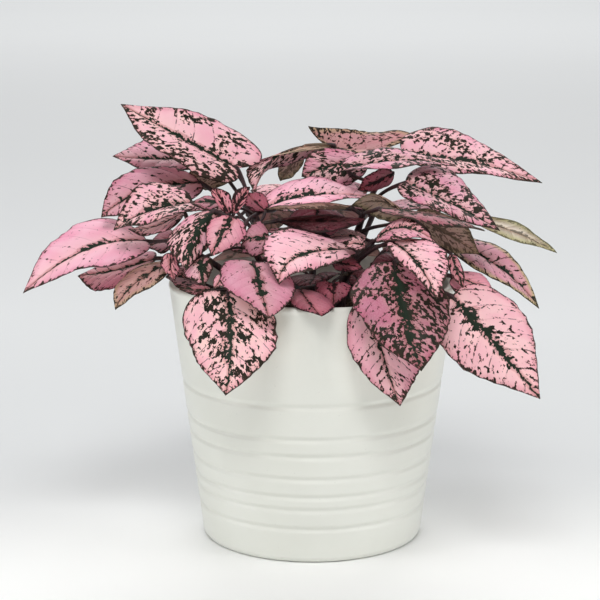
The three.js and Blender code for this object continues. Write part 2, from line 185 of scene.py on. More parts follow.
roomLight = dict(colour=(0.97, 0.985, 1.0, 1.0), strength=0.14)
softboxes = {       # metres and watts
    "key": dict(at=(-0.05, -0.95, 1.35), to=(0, 0, 0.12), size=0.6, power=12.1),
    "left": dict(at=(-1.35, -0.3, 0.75), to=(0, 0, 0.12), size=0.9, power=7.2),
    "right": dict(at=(1.35, -0.3, 0.75), to=(0, 0, 0.12), size=0.9, power=7.2),
    "low": dict(at=(0.05, -1.1, 0.14), to=(0, 0, 0.14), size=0.5, power=0.9),
    "back": dict(at=(0.1, 1.0, 1.4), to=(0, 0, 0.12), size=1.0, power=3.0),
    "sweep": dict(at=(0, 4.2, 3.2), to=(0, 4.0, 0), size=4.0, power=135.0),
}


def lightStudio():
    world = bpy.data.worlds.new("studio")
    world.use_nodes = True
    background = world.node_tree.nodes["Background"]
    background.inputs["Color"].default_value = roomLight["colour"]
    background.inputs["Strength"].default_value = roomLight["strength"]
    scene.world = world
    for name, box in softboxes.items():
        light = bpy.data.lights.new(name, "AREA")
        light.size = box["size"]
        light.energy = box["power"]
        lamp = bpy.data.objects.new(name, light)
        lamp.location = box["at"]
        lamp.rotation_euler = (Vector(box["to"]) - Vector(box["at"])).to_track_quat("-Z", "Y").to_euler()
        scene.collection.objects.link(lamp)


setCamera()
layPaper()
lightStudio()
print("camera, floor and light are in")


def spun(bm, profile, steps):
    # turns a profile of (radius, height) round the pot's axis
    verts = [bm.verts.new((r * mm, 0, z * mm)) for r, z in profile]
    edges = [bm.edges.new(pair) for pair in zip(verts, verts[1:])]
    bmesh.ops.spin(bm, geom=verts + edges, axis=(0, 0, 1), cent=(0, 0, 0), steps=steps, angle=2 * math.pi,
                   use_merge=True)
    bmesh.ops.remove_doubles(bm, verts=bm.verts, dist=1e-6)
    bmesh.ops.recalc_face_normals(bm, faces=bm.faces)


potSize = dict(
    height=118, foot=49.9, rim=65, wall=3.6, steps=144,
    grooves=(16, 25, 31, 39.5, 50, 58, 73), grooveDepth=0.8, grooveHalf=2.2,
    sideFrom=2.4, sideStep=0.55, sideRows=206, lipSteps=12,
    footRing=((0, 0.9), (40, 0.9), (43, 0), (47.5, 0), (48.6, 0.25), (49.5, 0.9)),      # radius and height
    bowlRows=(110, 100, 90, 70, 50, 30, 18),
    bowlFloor=((48.0, 11), (46.9, 8), (44.8, 6), (41.5, 5.1), (36, 5), (0, 5)))
glazeTones = dict(
    thin=(0.79, 0.80, 0.735), thick=(0.83, 0.84, 0.78), speck=(0.5, 0.5, 0.46), specks=0.25,
    waveDepth=0.0012, wave=0.12)


def potSide(z):
    # outside radius at a height, with the throwing rings
    r = potSize["foot"] + (potSize["rim"] - potSize["foot"]) * z / potSize["height"]
    for groove in potSize["grooves"]:
        away = abs(z - groove) / potSize["grooveHalf"]
        if away < 1:
            r -= potSize["grooveDepth"] * (0.5 + 0.5 * math.cos(math.pi * away)) ** 1.5
    return r


def throwPot():
    lip = potSize["wall"] / 2
    sideHeights = [potSize["sideFrom"] + potSize["sideStep"] * i for i in range(potSize["sideRows"])]
    profile = list(potSize["footRing"])
    profile += [(potSide(z), z) for z in sideHeights]
    for i in range(potSize["lipSteps"] + 1):
        turn = math.pi * i / potSize["lipSteps"]
        r = potSize["rim"] - lip + lip * math.cos(turn)
        profile.append((r, potSize["height"] - lip + lip * math.sin(turn)))
    profile += [(potSide(z) - potSize["wall"], z) for z in potSize["bowlRows"]]
    profile += potSize["bowlFloor"]
    bm = bmesh.new()
    spun(bm, profile, potSize["steps"])
    return bm


def mixGlaze():
    glaze = Paint("glaze", Specular_IOR_Level=0.5, Coat_Roughness=0.22, Coat_IOR=1.5)
    spot = glaze.place()
    pooling = glaze.noise(spot, 22.0, 3.0)
    specks = glaze.noise(spot, 900.0, 1.0).step(0.76, 0.8)
    body = glaze.mix(pooling.step(0.3, 0.7), glazeTones["thin"], glazeTones["thick"])
    body = glaze.mix(specks * glazeTones["specks"], body, glazeTones["speck"])
    waviness = glaze.noise(spot, 55.0, 2.0)
    return glaze.finish(
        Base_Color=body,
        Roughness=glaze.noise(spot, 120.0, 3.0).step(0.2, 0.8, 0.34, 0.46),
        Coat_Weight=pooling.step(0.3, 0.8, 0.25, 0.4),
        Normal=glaze.bump(waviness + specks * 0.1, glazeTones["wave"], glazeTones["waveDepth"]))


settle(throwPot(), "glazed_pot", [mixGlaze()], "pot")
print("the cover pot is glazed")


growPot = dict(
    foot=5.3, floorTop=6.4, height=100, footRadius=41, rim=56, wall=1.1, rollWidth=2.4, steps=120,
    drains=5, drainRadius=4, drainCircle=26, drainSides=24,
    plastic=(0.012, 0.012, 0.013), scuff=(0.045, 0.043, 0.04))


def growPotSide(z):
    # outside radius of its wall at a height
    flare = (growPot["rim"] - growPot["rollWidth"] - growPot["footRadius"]) / growPot["height"]
    return growPot["footRadius"] + flare * (z - growPot["foot"])


def pressGrowPot():
    bm = bmesh.new()
    low, side, wall, rim = growPot["foot"], growPotSide, growPot["wall"], growPot["rim"]
    top = low + growPot["height"]
    profile = [(growPot["footRadius"] - 1, low), (growPot["footRadius"], low + 0.3), (side(7), 7)]
    profile += [(side(top - 6.4), top - 6.4), (side(top - 6) + 0.6, top - 6.1)]      # up to its rolled edge
    profile += [(rim - 0.6, top - 5.5), (rim, top - 4.9)]
    profile += [(rim, top - 0.6), (rim - 0.3, top - 0.1), (rim - 0.8, top)]
    profile += [(side(top) - 0.6, top), (side(top) - wall, top - 0.5), (side(7) - wall, 7)]
    profile += [(side(growPot["floorTop"]) - wall - 0.5, growPot["floorTop"])]
    spun(bm, profile, growPot["steps"])
    levels = (growPot["foot"], growPot["floorTop"])
    for i in range(growPot["drains"]):
        turn = 2 * math.pi * i / growPot["drains"]
        centre = Vector((math.cos(turn), math.sin(turn), 0)) * growPot["drainCircle"]
        sides = []
        for level in levels:
            place = Matrix.Translation((centre + Vector((0, 0, level))) * mm)
            loop = bmesh.ops.create_circle(bm, segments=growPot["drainSides"],
                                           radius=growPot["drainRadius"] * mm, matrix=place)["verts"]
            sides.append(list({e for v in loop for e in v.link_edges}))
        bmesh.ops.bridge_loops(bm, edges=sides[0] + sides[1])
    for level in levels:        # both faces of the floor, round the drain holes
        edges = [e for e in bm.edges if e.is_boundary]
        edges = [e for e in edges if all(abs(v.co.z - level * mm) < 1e-7 for v in e.verts)]
        bmesh.ops.triangle_fill(bm, use_beauty=True, edges=edges)
    bmesh.ops.recalc_face_normals(bm, faces=bm.faces)
    return bm


def mixPlastic():
    plastic = Paint("grow_pot_plastic", Specular_IOR_Level=0.4)
    spot = plastic.place()
    scuffs = plastic.noise(spot, 160.0, 4.0, 0.7)
    return plastic.finish(
        Base_Color=plastic.mix(scuffs.step(0.5, 0.75), growPot["plastic"], growPot["scuff"]),
        Roughness=scuffs.step(0.3, 0.8, 0.45, 0.7),
        Normal=plastic.bump(plastic.noise(spot, 2200.0, 2.0), 0.2, 0.0002))


settle(pressGrowPot(), "grow_pot", [mixPlastic()], "nursery_pot")


soilSize = dict(
    foot=6.7, top=100.0, crown=1.5, middle=0.6, radius=52, gap=1.5, crust=1.5, dip=0.6, highest=101.5,
    steps=96, sideRows=(6.7, 30, 60, 90, 99), rings=32, ringStep=1.6,
    seed=12, crumbs=900, crumbSpread=51.5, crumbSizes=(0.4, 0.5, 0.6, 0.8, 1.1), crumbSink=0.5,
    dark=(0.010, 0.006, 0.004), brown=(0.06, 0.036, 0.022), bark=(0.32, 0.27, 0.2))


def soilHeight(r):
    # it rises a little towards the middle
    return soilSize["top"] + soilSize["crown"] * (soilSize["middle"] - (r / soilSize["radius"]) ** 2)


def fillSoil():
    bm = bmesh.new()
    top = soilSize["top"]
    widest = growPotSide(top) - soilSize["gap"]
    profile = [(0, soilSize["foot"])] + [(growPotSide(z) - soilSize["gap"], z) for z in soilSize["sideRows"]]
    profile += [(widest - i * soilSize["ringStep"], top) for i in range(soilSize["rings"])] + [(0, top)]
    spun(bm, profile, soilSize["steps"])
    for v in bm.verts:
        if v.co.z > (top - soilSize["crust"]) * mm:     # its surface, with clods and grains
            rough = noise.noise(v.co * 130) * 0.8 + noise.noise(v.co * 420) * 0.5
            v.co.z = (soilHeight(v.co.xy.length / mm) + rough - soilSize["dip"]) * mm
    rng = random.Random(soilSize["seed"])
    for _ in range(soilSize["crumbs"]):
        r = soilSize["crumbSpread"] * math.sqrt(rng.random())
        turn = rng.random() * 2 * math.pi
        size = rng.choice(soilSize["crumbSizes"]) * mm
        angle = rng.random() * 6.3
        spin = Matrix.Rotation(angle, 4, Vector((rng.random() - 0.5, rng.random() - 0.5, rng.random() + 0.1)))
        z = soilHeight(r) - soilSize["crumbSink"]
        at = Matrix.Translation(Vector((r * math.cos(turn), r * math.sin(turn), z)) * mm)
        squash = Matrix.Diagonal((1, rng.uniform(0.5, 0.9), rng.uniform(0.4, 0.8), 1))
        crumb = bmesh.ops.create_icosphere(bm, subdivisions=1, radius=size, matrix=at @ spin @ squash)
        for v in crumb["verts"]:
            v.co.z = min(v.co.z, soilSize["highest"] * mm)
    return bm


def mixSoil():
    peat = Paint("potting_mix", Roughness=0.95, Specular_IOR_Level=0.15)
    spot = peat.place()
    grain = peat.noise(spot, 700.0, 4.0, 0.7)
    fleck = peat.noise(spot, 320.0, 1.0)
    ground = peat.mix(grain.step(0.35, 0.65), soilSize["dark"], soilSize["brown"])
    ground = peat.mix(fleck.step(0.68, 0.72) * 0.6, ground, soilSize["bark"])
    return peat.finish(Base_Color=ground, Normal=peat.bump(grain, 0.8, 0.0006))


settle(fillSoil(), "potting_mix", [mixSoil()], "soil")
print("the growing pot is filled")


# the dark splashes: how fine they are, and how much of the noise they take where a leaf is crowded with them
splashes = dict(
    scale=0.52, detail=3.5, rough=0.58, warp=0.25, level=0.69, fullest=0.485, crowding=0.135,
    alongVeins=0.05, nearEdge=0.08, patchScale=0.1, oneSided=0.55, ribbon=2.1, edging=0.65, ragged=3.8)


def leafPattern(paint):
    # where the dark splashes, the veins and the dark margin lie, from each leaf's own coordinates
    x, y, seed = paint.attribute("leafSpot")        # across and along in leaf lengths, and a seed
    edge, rung, size = paint.attribute("leafEdge")  # mm from the margin, side veins passed, and length in mm
    shade, red, olive = paint.attribute("leafTone")
    splash, rib, lean = paint.attribute("leafSplash")
    cream, blotch, rim = paint.attribute("leafTint")
    side = x.math("SIGN")
    across = x.math("ABSOLUTE") * size
    along = y * size
    vein = (rung.math("FRACT") - 0.5).math("ABSOLUTE")      # half where a side vein runs
    # a grid slanted along the side veins, and shifted for each half and each leaf
    grid = paint.vector(along * 0.7 + across * 0.42, across * 1.05 - along * 0.62 + side * 40, seed * 71)
    flecks = paint.noise(grid, splashes["scale"], splashes["detail"], splashes["rough"], splashes["warp"])
    patches = paint.noise(paint.vector(along, across + side * 30, seed * 37), splashes["patchScale"])
    crowd = splash * (patches.step(0.36, 0.62) * 0.9 + 0.35 + blotch * (patches - 0.5) * 2)
    crowd = crowd + lean * side * splashes["oneSided"]
    level = splashes["level"] - crowd * splashes["crowding"] - vein.step(0.36, 0.5) * splashes["alongVeins"]
    level = (level - edge.step(3.2, 0.3) * splashes["nearEdge"]).math("MAXIMUM", splashes["fullest"])
    spots = (flecks - level).step(-0.006, 0.01)
    wander = paint.noise(paint.vector(along, side * 3, seed * 5), 0.16, 2.0).step(0.32, 0.66)
    band = rib * (wander * splashes["ribbon"] + 0.35)
    band = band * y.step(-0.02, 0.16, 0.3, 1.0) * y.step(1.0, 0.35, 0.08, 1.0)
    streak = (band * ((flecks - 0.5) * 7 + 1) - across).step(-0.12, 0.12)       # the splash along the midrib
    frayed = paint.noise(grid, 0.7, 3.0, 0.6)
    margin = (edge - (frayed - 0.5) * splashes["ragged"] - splashes["edging"]).step(0.15, -0.1)
    dashes = paint.noise(grid, 0.34, 3.0, 0.6).step(0.5, 0.54)
    dashes = dashes * vein.step(0.46, 0.485) * splash.step(0.1, 0.6)
    dark = spots.math("MAXIMUM", streak).math("MAXIMUM", margin * 0.95).math("MAXIMUM", dashes * 0.8)
    halo = (flecks - level).step(-0.035, 0.0).math("MAXIMUM", (band + 0.9 - across).step(-0.3, 0.6) * 0.7)
    return dict(edge=edge, shade=shade, red=red, olive=olive, across=across, vein=vein, dark=dark, halo=halo,
                crowd=crowd, patches=patches, grid=grid, cream=cream, rim=rim)


faceTones = dict(
    pink=(0.97, 0.50, 0.64), rose=(0.93, 0.36, 0.53), peach=(0.98, 0.60, 0.61), coral=(0.94, 0.50, 0.56),
    nearRib=(0.98, 0.64, 0.62), crowded=(0.95, 0.65, 0.60), red=(0.72, 0.11, 0.16),
    crimson=(0.52, 0.07, 0.12), olive=(0.50, 0.36, 0.23), shade=(0.36, 0.16, 0.25),
    deepShade=(0.24, 0.09, 0.14), innermostShade=(0.42, 0.34, 0.34), powder=(0.99, 0.74, 0.72),
    vein=(0.40, 0.09, 0.12), edge=(0.66, 0.32, 0.38), midrib=(0.40, 0.13, 0.13),
    halo=(0.42, 0.13, 0.10), rim=(0.52, 0.46, 0.22))
splashTones = dict(
    green=(0.010, 0.012, 0.006), paler=(0.026, 0.018, 0.011), nearRib=(0.010, 0.027, 0.015),
    edge=(0.05, 0.028, 0.02), maroon=(0.022, 0.007, 0.008))


def mixFace():
    # the pink upper side
    face = Paint("leaf_face", Specular_IOR_Level=0.17, Coat_Roughness=0.35)
    p, tones, dark = leafPattern(face), faceTones, splashTones
    cloudy = face.noise(p["grid"], 0.1, 2.0)
    blush = face.noise(p["grid"], 0.065, 1.0).step(0.42, 0.62)
    fine = face.noise(p["grid"], 1.5, 3.0, 0.6)
    pink = face.mix(cloudy.step(0.35, 0.65), tones["pink"], tones["rose"])
    pink = face.mix(p["cream"], pink, face.mix(cloudy.step(0.35, 0.65), tones["peach"], tones["coral"]))
    pink = face.mix((p["across"] * -0.16).math("EXPONENT") * 0.7, pink, tones["nearRib"])
    pink = face.mix(p["crowd"].step(0.5, 1.5) * 0.6, pink, tones["crowded"])
    pink = face.mix(p["red"], pink, face.mix(blush, tones["red"], tones["crimson"]))
    pink = face.mix(p["olive"], pink, tones["olive"])
    # painted shade: each leaf's shade multiplies its pink towards the shade tones, and the most shaded leaves
    # are multiplied darker again
    pink = face.mix(p["shade"], pink, face.mix(blush, tones["shade"], tones["deepShade"]), "MULTIPLY")
    pink = face.mix(p["shade"].step(0.8, 1.0), pink, tones["innermostShade"], "MULTIPLY")
    pink = face.mix(fine.step(0.35, 0.75) * 0.12, pink, tones["powder"])
    pink = face.mix(p["vein"].step(0.44, 0.495) * (p["red"] * 0.5 + 0.16), pink, tones["vein"])
    pink = face.mix(p["edge"].step(4.0, 0.4) * 0.4, pink, tones["edge"], "MULTIPLY")
    pink = face.mix(p["across"].step(0.6, 0.15) * 0.45, pink, tones["midrib"])
    pink = face.mix(p["halo"] * 0.55, pink, tones["halo"], "MULTIPLY")
    pink = face.mix(p["edge"].step(3.5, 0.2) * p["rim"], pink, tones["rim"])
    green = face.mix(cloudy.step(0.35, 0.65), dark["green"], dark["paler"])
    green = face.mix(p["across"].step(3.5, 0.5) * 0.7, green, dark["nearRib"])
    green = face.mix(p["edge"].step(3.0, 0.3) * 0.5, green, dark["edge"])
    green = face.mix(p["red"].step(0.2, 0.5), green, dark["maroon"])
    height = p["vein"].step(0.5, 0.2) * 0.8 + fine * 0.12 - p["dark"] * 0.05
    return face.finish(
        Base_Color=face.mix(p["dark"], pink, green),
        Roughness=fine.step(0.2, 0.8, 0.42, 0.56) + p["dark"] * 0.15,
        Coat_Weight=p["patches"].step(0.3, 0.8, 0.02, 0.1),
        Normal=face.bump(height, 0.4, 0.0005))


backTones = dict(
    tan=(0.84, 0.62, 0.50), rosyTan=(0.84, 0.52, 0.47), red=(0.66, 0.25, 0.24), olive=(0.82, 0.74, 0.58),
    paleAndLit=(1.0, 0.92, 0.80), powder=(0.88, 0.72, 0.60), edge=(0.58, 0.55, 0.36), vein=(0.50, 0.36, 0.26),
    midrib=(0.72, 0.62, 0.50), rim=(0.56, 0.54, 0.28), shade=(0.24, 0.13, 0.14), innermostShade=(0.42, 0.34, 0.34),
    splash=(0.045, 0.042, 0.026), redSplash=(0.030, 0.011, 0.011))


def mixBack():
    # the tan underside, where the splashes show fainter
    back = Paint("leaf_back", Specular_IOR_Level=0.2)
    p, tones = leafPattern(back), backTones
    cloudy = back.noise(p["grid"], 0.13, 2.0)
    fine = back.noise(p["grid"], 1.3, 3.0, 0.6)
    tan = back.mix(cloudy.step(0.35, 0.65), tones["tan"], tones["rosyTan"])
    tan = back.mix(p["red"], tan, tones["red"])
    tan = back.mix(p["olive"] * 0.6, tan, tones["olive"])
    # partly the pale underside's own colour, partly painted light: it is lifted to near white so that the
    # downward-facing underside looks lit
    tan = back.mix(p["olive"].step(0.6, 0.8), tan, tones["paleAndLit"])
    tan = back.mix(fine.step(0.4, 0.8) * 0.2, tan, tones["powder"])
    tan = back.mix(p["edge"].step(4.5, 0.3) * 0.5, tan, tones["edge"], "MULTIPLY")
    tan = back.mix(p["vein"].step(0.45, 0.49) * 0.5, tan, tones["vein"], "MULTIPLY")
    tan = back.mix(p["across"].step(1.3, 0.4) * 0.6, tan, tones["midrib"], "MULTIPLY")
    tan = back.mix(p["edge"].step(3.5, 0.2) * p["rim"], tan, tones["rim"])
    # painted shade: the underside darkens with the leaf's shade and its extra underside shade, and the most
    # shaded undersides darker again
    tan = back.mix(p["shade"], tan, tones["shade"], "MULTIPLY")
    tan = back.mix(p["shade"].step(0.8, 1.0), tan, tones["innermostShade"], "MULTIPLY")
    splash = back.mix(p["red"].step(0.2, 0.5), tones["splash"], tones["redSplash"])
    return back.finish(
        Base_Color=back.mix(p["dark"] * 0.75, tan, splash),
        Roughness=fine.step(0.2, 0.8, 0.5, 0.65),
        Normal=back.bump(p["vein"].step(0.3, 0.5) + fine * 0.15, 0.5, 0.0005))


stalkTones = dict(dark=(0.020, 0.010, 0.013), maroon=(0.07, 0.030, 0.032), woody=(0.10, 0.075, 0.04))


def mixStalks():
    bark = Paint("stalks", Specular_IOR_Level=0.4)
    spot = bark.place()
    drawn = bark.add("ShaderNodeMapping", {}, {"Vector": spot, "Scale": (1.0, 1.0, 0.25)})
    streaks = bark.noise(drawn, 900.0, 3.0)
    skin = bark.mix(streaks.step(0.35, 0.7), stalkTones["dark"], stalkTones["maroon"])
    skin = bark.mix(bark.noise(spot, 90.0, 2.0).step(0.55, 0.75) * 0.5, skin, stalkTones["woody"])
    return bark.finish(Base_Color=skin, Roughness=streaks.step(0.2, 0.8, 0.4, 0.6),
                       Normal=bark.bump(streaks, 0.3, 0.0002))


leafMaterials = [mixFace(), mixBack()]
stalkMaterial = mixStalks()
print("leaf and stalk colours are mixed")


# the outline that all leaves share, and how far its lobes, waves and puffed halves go, in shares of its size
outline = dict(widestAt=0.36, fullness=0.62)
plain = dict(lobe=0.16, wave=0.03, puff=0.08)
wide = dict(lobe=0.34, wave=0.04, puff=0.08)
curly = dict(lobe=0.16, wave=0.12, puff=0.08)

# each kind of leaf: how shaded (painted shade), red, olive or creamy it is, how splashed and how blotchy, how
# wide the splash along its midrib is, which half has more (lean), how yellow its rim is, how much more painted
# shade its underside gets (under)
usual = dict(
    shade=0, red=0, olive=0, splash=0, rib=0, lean=0, cream=0, blotch=0, rim=0, under=0, habit=plain)
# painted shade: the dark kinds, such as inner, maroon, berry, umber, deep, plum, dusk and dusky, take most of
# their darkness from their painted shade, and rear and blushed darken their undersides with it
kinds = {
    "bright": dict(shade=0.0, splash=0.7, rib=0.55, cream=0.5),
    "soft": dict(shade=0.0, splash=0.62, rib=0.5, cream=0.3),
    "clear": dict(shade=0.0, splash=0.2, rib=0.9),
    "banded": dict(shade=0.0, splash=0.35, rib=1.8),
    "ribbed": dict(shade=0.0, splash=0.6, rib=2.0, cream=0.8),
    "dots": dict(shade=0.07, splash=1.15, rib=1.0, cream=0.3),
    "sprinkled": dict(shade=0.32, splash=1.3, rib=0.9),
    "heavy": dict(shade=0.0, splash=1.22, rib=1.7, lean=-0.1, cream=0.9, blotch=0.2),
    "netted": dict(shade=0.03, splash=1.3, rib=0.9, lean=-0.9, cream=0.5, blotch=0.9, habit=wide),
    "flecked": dict(shade=0.15, splash=1.35, rib=1.6),
    "deep": dict(shade=0.65, red=0.18, splash=1.65, rib=2.6, lean=-0.3, blotch=0.1),
    "rose": dict(shade=0.38, red=0.06, splash=0.15, rib=1.2),
    "rosy": dict(shade=0.1, red=0.3, splash=0.3, rib=0.8),
    "warm": dict(shade=0.12, red=0.2, splash=0.9, rib=0.8),
    "young": dict(shade=0.0, red=0.45, splash=0.8, rib=0.8),
    "mauve": dict(shade=0.33, splash=0.45, rib=0.8),
    "plum": dict(shade=0.5, red=0.1, splash=0.7, rib=0.9),
    "orchid": dict(shade=0.35, splash=0.7, rib=0.9, rim=0.9),
    "buff": dict(shade=0.22, splash=0.6, rib=0.7, cream=0.5),
    "maroon": dict(shade=0.8, red=0.55, splash=0.35, rib=0.9),
    "inner": dict(shade=1.0, red=0.5, splash=0.5, rib=1.0),
    "dusk": dict(shade=0.55, red=0.2, splash=0.7, rib=0.9),
    "tan": dict(shade=0.15, red=0.1, olive=0.5, splash=0.5, rib=0.8, rim=0.5),
    "tawny": dict(shade=0.25, red=0.3, olive=0.35, splash=0.9, rib=1.0, rim=0.6, habit=wide),
    "brown": dict(shade=0.4, red=0.2, olive=0.4, splash=1.1, rib=1.2, rim=0.4),
    "berry": dict(shade=0.62, red=0.5, splash=0.0, rib=0.4),
    "dusky": dict(shade=0.5, red=0.25, olive=0.15, splash=1.1, rib=1.0),
    "rear": dict(shade=0.1, splash=0.9, rib=1.2, under=0.75),
    "blushed": dict(shade=0.1, red=0.12, splash=0.3, rib=1.6, under=0.7),
    "umber": dict(shade=0.75, red=0.2, olive=0.35, splash=1.1, rib=1.0),
    # painted light: this kind's pale underside is lifted brighter in the underside material
    "paleAndLit": dict(shade=0.0, olive=0.8, splash=0.1, rib=0.4, rim=0.9, habit=curly),
}

leafMesh = dict(
    thickness=0.36, veins=6.4, quilt=0.34, channel=0.35, ridge=0.55, scallop=0.02, uneven=0.09, fullSize=45,
    rows=44, halfColumns=(0, 0.02, 0.05, 0.1, 0.18, 0.28, 0.4, 0.53, 0.66, 0.79, 0.9, 0.97, 1), underside=0.6)
columns = [-c for c in reversed(leafMesh["halfColumns"][1:])] + list(leafMesh["halfColumns"])
lastRow, lastColumn = leafMesh["rows"], len(columns) - 1
leafNumbers = itertools.count()


class Blade:
    # a leaf blade by the same rule as its solid: two puffed halves folded along the midrib
    # u goes from 0 at the base to 1 at the tip, and t from -1 at the left margin to 1 at the right one
    def __init__(self, at, base, middle, tip, left, right, kind):
        self.at = at
        self.base, self.middle, self.tip = Vector(base), Vector(middle), Vector(tip)
        self.kind = {**usual, **kinds[kind]}
        self.habit = self.kind["habit"]
        self.number = next(leafNumbers)
        centre = self.midrib(outline["widestAt"])
        self.toLeft, self.toRight = Vector(left) - centre, Vector(right) - centre
        self.along = (self.middle - self.base).normalized()
        self.leftUp = self.along.cross(self.toLeft).normalized()
        self.rightUp = self.toRight.cross(self.along).normalized()
        self.length = (self.middle - self.base).length + (self.tip - self.middle).length
        self.width = self.toLeft.length + self.toRight.length

    def midrib(self, u):
        m = 0.45        # where the middle lies along the midrib
        return (self.base * ((u - m) * (u - 1) / m) + self.middle * (u * (u - 1) / (m * (m - 1)))
                + self.tip * (u * (u - m) / (1 - m)))

    def reach(self, u):
        # the width at u, as a share of the greatest
        widestAt, fullness = outline["widestAt"], outline["fullness"]
        return (u / widestAt) ** fullness * ((1 - u) / (1 - widestAt)) ** (fullness * (1 / widestAt - 1))

    def sideways(self, u, t):
        # mm from the midrib
        return abs(t) * self.reach(u) * (self.toLeft if t < 0 else self.toRight).length

    def rung(self, u, t):
        # how many side veins lie between the base and this point, which they reach slanting outwards
        x = self.sideways(u, t) / self.length
        wobble = 0.25 * noise.noise((u * 3.1, self.number * 3.7 + (9 if t < 0 else 0), 0))
        return (u - x * 0.5 - x * x) * leafMesh["veins"] + wobble + (0.22 if t < 0 else 0.6) + 2

    def surface(self, u, t):
        k, reach = abs(t), self.reach(u)
        side, up = (self.toLeft, self.leftUp) if t < 0 else (self.toRight, self.rightUp)
        turn = 2 * math.pi * (1.6 * u + 0.61 * self.number + (0.35 if t < 0 else 0))
        puffed = self.habit["puff"] * self.width * reach * 2 * k * (1 - k)
        waved = self.habit["wave"] * self.width * math.sin(turn) * k ** 3 * min(1, 1.3 * reach)
        uneven = leafMesh["uneven"] * noise.noise((u * 4.5, self.number * 7.3 + (5 if t < 0 else 0), 0))
        nick = 1 + k * (uneven - leafMesh["scallop"] * math.cos(2 * math.pi * self.rung(u, t)))
        return (self.midrib(u) + side * (k * reach * nick) + up * (puffed + waved)
                - self.along * (self.habit["lobe"] * self.length * reach * (1 - u) ** 5 * k * k))


def layBlade(bm, blade):
    # a grid bent to the blade, and each vertex's u, t, row and column
    spots = {}
    for v in bmesh.ops.create_grid(bm, x_segments=lastColumn, y_segments=lastRow, size=1)["verts"]:
        column = round((v.co.x + 1) / 2 * lastColumn)
        row = round((v.co.y + 1) / 2 * lastRow)
        u = 0.0015 + 0.9965 * (0.5 - 0.5 * math.cos(math.pi * row / lastRow))
        spots[v] = (u, columns[column], row, column)
    for v, (u, t, row, column) in spots.items():
        v.co = blade.surface(u, t) * mm
        if row in (0, lastRow) and column in (0, lastColumn):       # cut inwards, or the two faces coincide
            inner = [w for w in v.link_faces[0].verts if not any(v in e.verts for e in w.link_edges)]
            bmesh.ops.connect_verts(bm, verts=[v, *inner])
    return spots


def turnUp(bm, blade, spots):
    # the grid's faces, turned to the blade's upper side
    faces = list(dict.fromkeys(f for v in spots for f in v.link_faces))
    for f in faces:
        f.normal_update()
    if sum((f.normal for f in faces), Vector()).dot(blade.leftUp + blade.rightUp) < 0:
        bmesh.ops.reverse_faces(bm, faces=faces)
    for v in spots:
        v.normal_update()
    return faces


def tintBlade(blade, spots, twin, layers):
    # what the leaf materials read, on both faces
    kind = blade.kind
    margins = {-1: [v.co.copy() for v, spot in spots.items() if spot[3] == 0],
               1: [v.co.copy() for v, spot in spots.items() if spot[3] == lastColumn]}
    for v, (u, t, _, _) in spots.items():
        x = math.copysign(blade.sideways(u, t), t) / blade.length
        edge = min((v.co - c).length for c in margins[-1 if t < 0 else 1]) / mm
        # the underside carries the leaf's painted shade plus its kind's extra painted underside shade (under)
        for w, shift, shade in ((v, 0, kind["shade"]), (twin[v], 0.05, kind["shade"] + kind["under"])):
            w[layers["spot"]] = (x, u, blade.number * 0.137 + shift)
            w[layers["edge"]] = (edge, blade.rung(u, t), blade.length)
            w[layers["tone"]] = (shade, kind["red"], kind["olive"])
            w[layers["splash"]] = (kind["splash"], kind["rib"], kind["lean"])
            w[layers["tint"]] = (kind["cream"], kind["blotch"], kind["rim"])


def swellBlade(blade, spots, twin):
    # moves the faces apart, quilts them between the veins, and returns the vertices where they meet
    small = min(1, blade.length / leafMesh["fullSize"])
    halfThick = leafMesh["thickness"] / 2 * mm
    meet = []
    for v, (u, t, row, column) in spots.items():
        k = abs(t)
        onRim = column in (0, lastColumn) or row in (0, lastRow)
        taper = 0 if onRim else min(1, (1 - k) * 9 + 0.15, u * 40 + 0.15, (1 - u) * 40 + 0.1)
        sideways = blade.sideways(u, t)
        valley = min(0.5 - abs(blade.rung(u, t) % 1 - 0.5), 0.3) / 0.3
        quilt = leafMesh["quilt"] * small * math.sin(math.pi * min(1, k * 1.2)) * (valley - 0.5) * mm
        channel = leafMesh["channel"] * small * max(0, 1 - sideways / 1.1) * (1 - u) * mm
        ridge = leafMesh["ridge"] * small * max(0, 1 - sideways / 0.9) * (1.05 - u) * mm
        base, up = v.co.copy(), v.normal.copy()
        v.co = base + up * (halfThick * taper + (quilt - channel) * taper)
        twin[v].co = base + up * (-halfThick * taper + (quilt - channel * 0.3 - ridge) * taper)
        if onRim:
            meet += [v, twin[v]]
    return meet


def unfold(blade, faces, spots, layer, cell, scale):
    # lays one side of a leaf flat in its cell of the stem's map
    for f in faces:
        for loop in f.loops:
            u, t, _, _ = spots[loop.vert]
            across = blade.toLeft.length + math.copysign(blade.sideways(u, t), t)
            x, y, size = cell
            loop[layer].uv = ((x + across * size) * scale, (y + u * blade.length * size) * scale)


def addBlade(bm, blade, layers, cells, scale):
    # both sides of one leaf, meeting in a thin margin
    spots = layBlade(bm, blade)
    upper = turnUp(bm, blade, spots)
    edges = list(dict.fromkeys(e for f in upper for e in f.edges))
    copy = bmesh.ops.duplicate(bm, geom=list(spots) + edges + upper)
    twin = copy["vert_map"]
    under = [g for g in copy["geom"] if isinstance(g, bmesh.types.BMFace)]
    tintBlade(blade, spots, twin, layers)
    meet = swellBlade(blade, spots, twin)
    bmesh.ops.reverse_faces(bm, faces=under)
    unfold(blade, upper, spots, layers["bake"], cells[0], scale)
    unfold(blade, under, {twin[v]: spot for v, spot in spots.items()}, layers["bake"], cells[1], scale)
    for f in under:
        f.material_index = 1
    bmesh.ops.remove_doubles(bm, verts=meet, dist=1e-7)


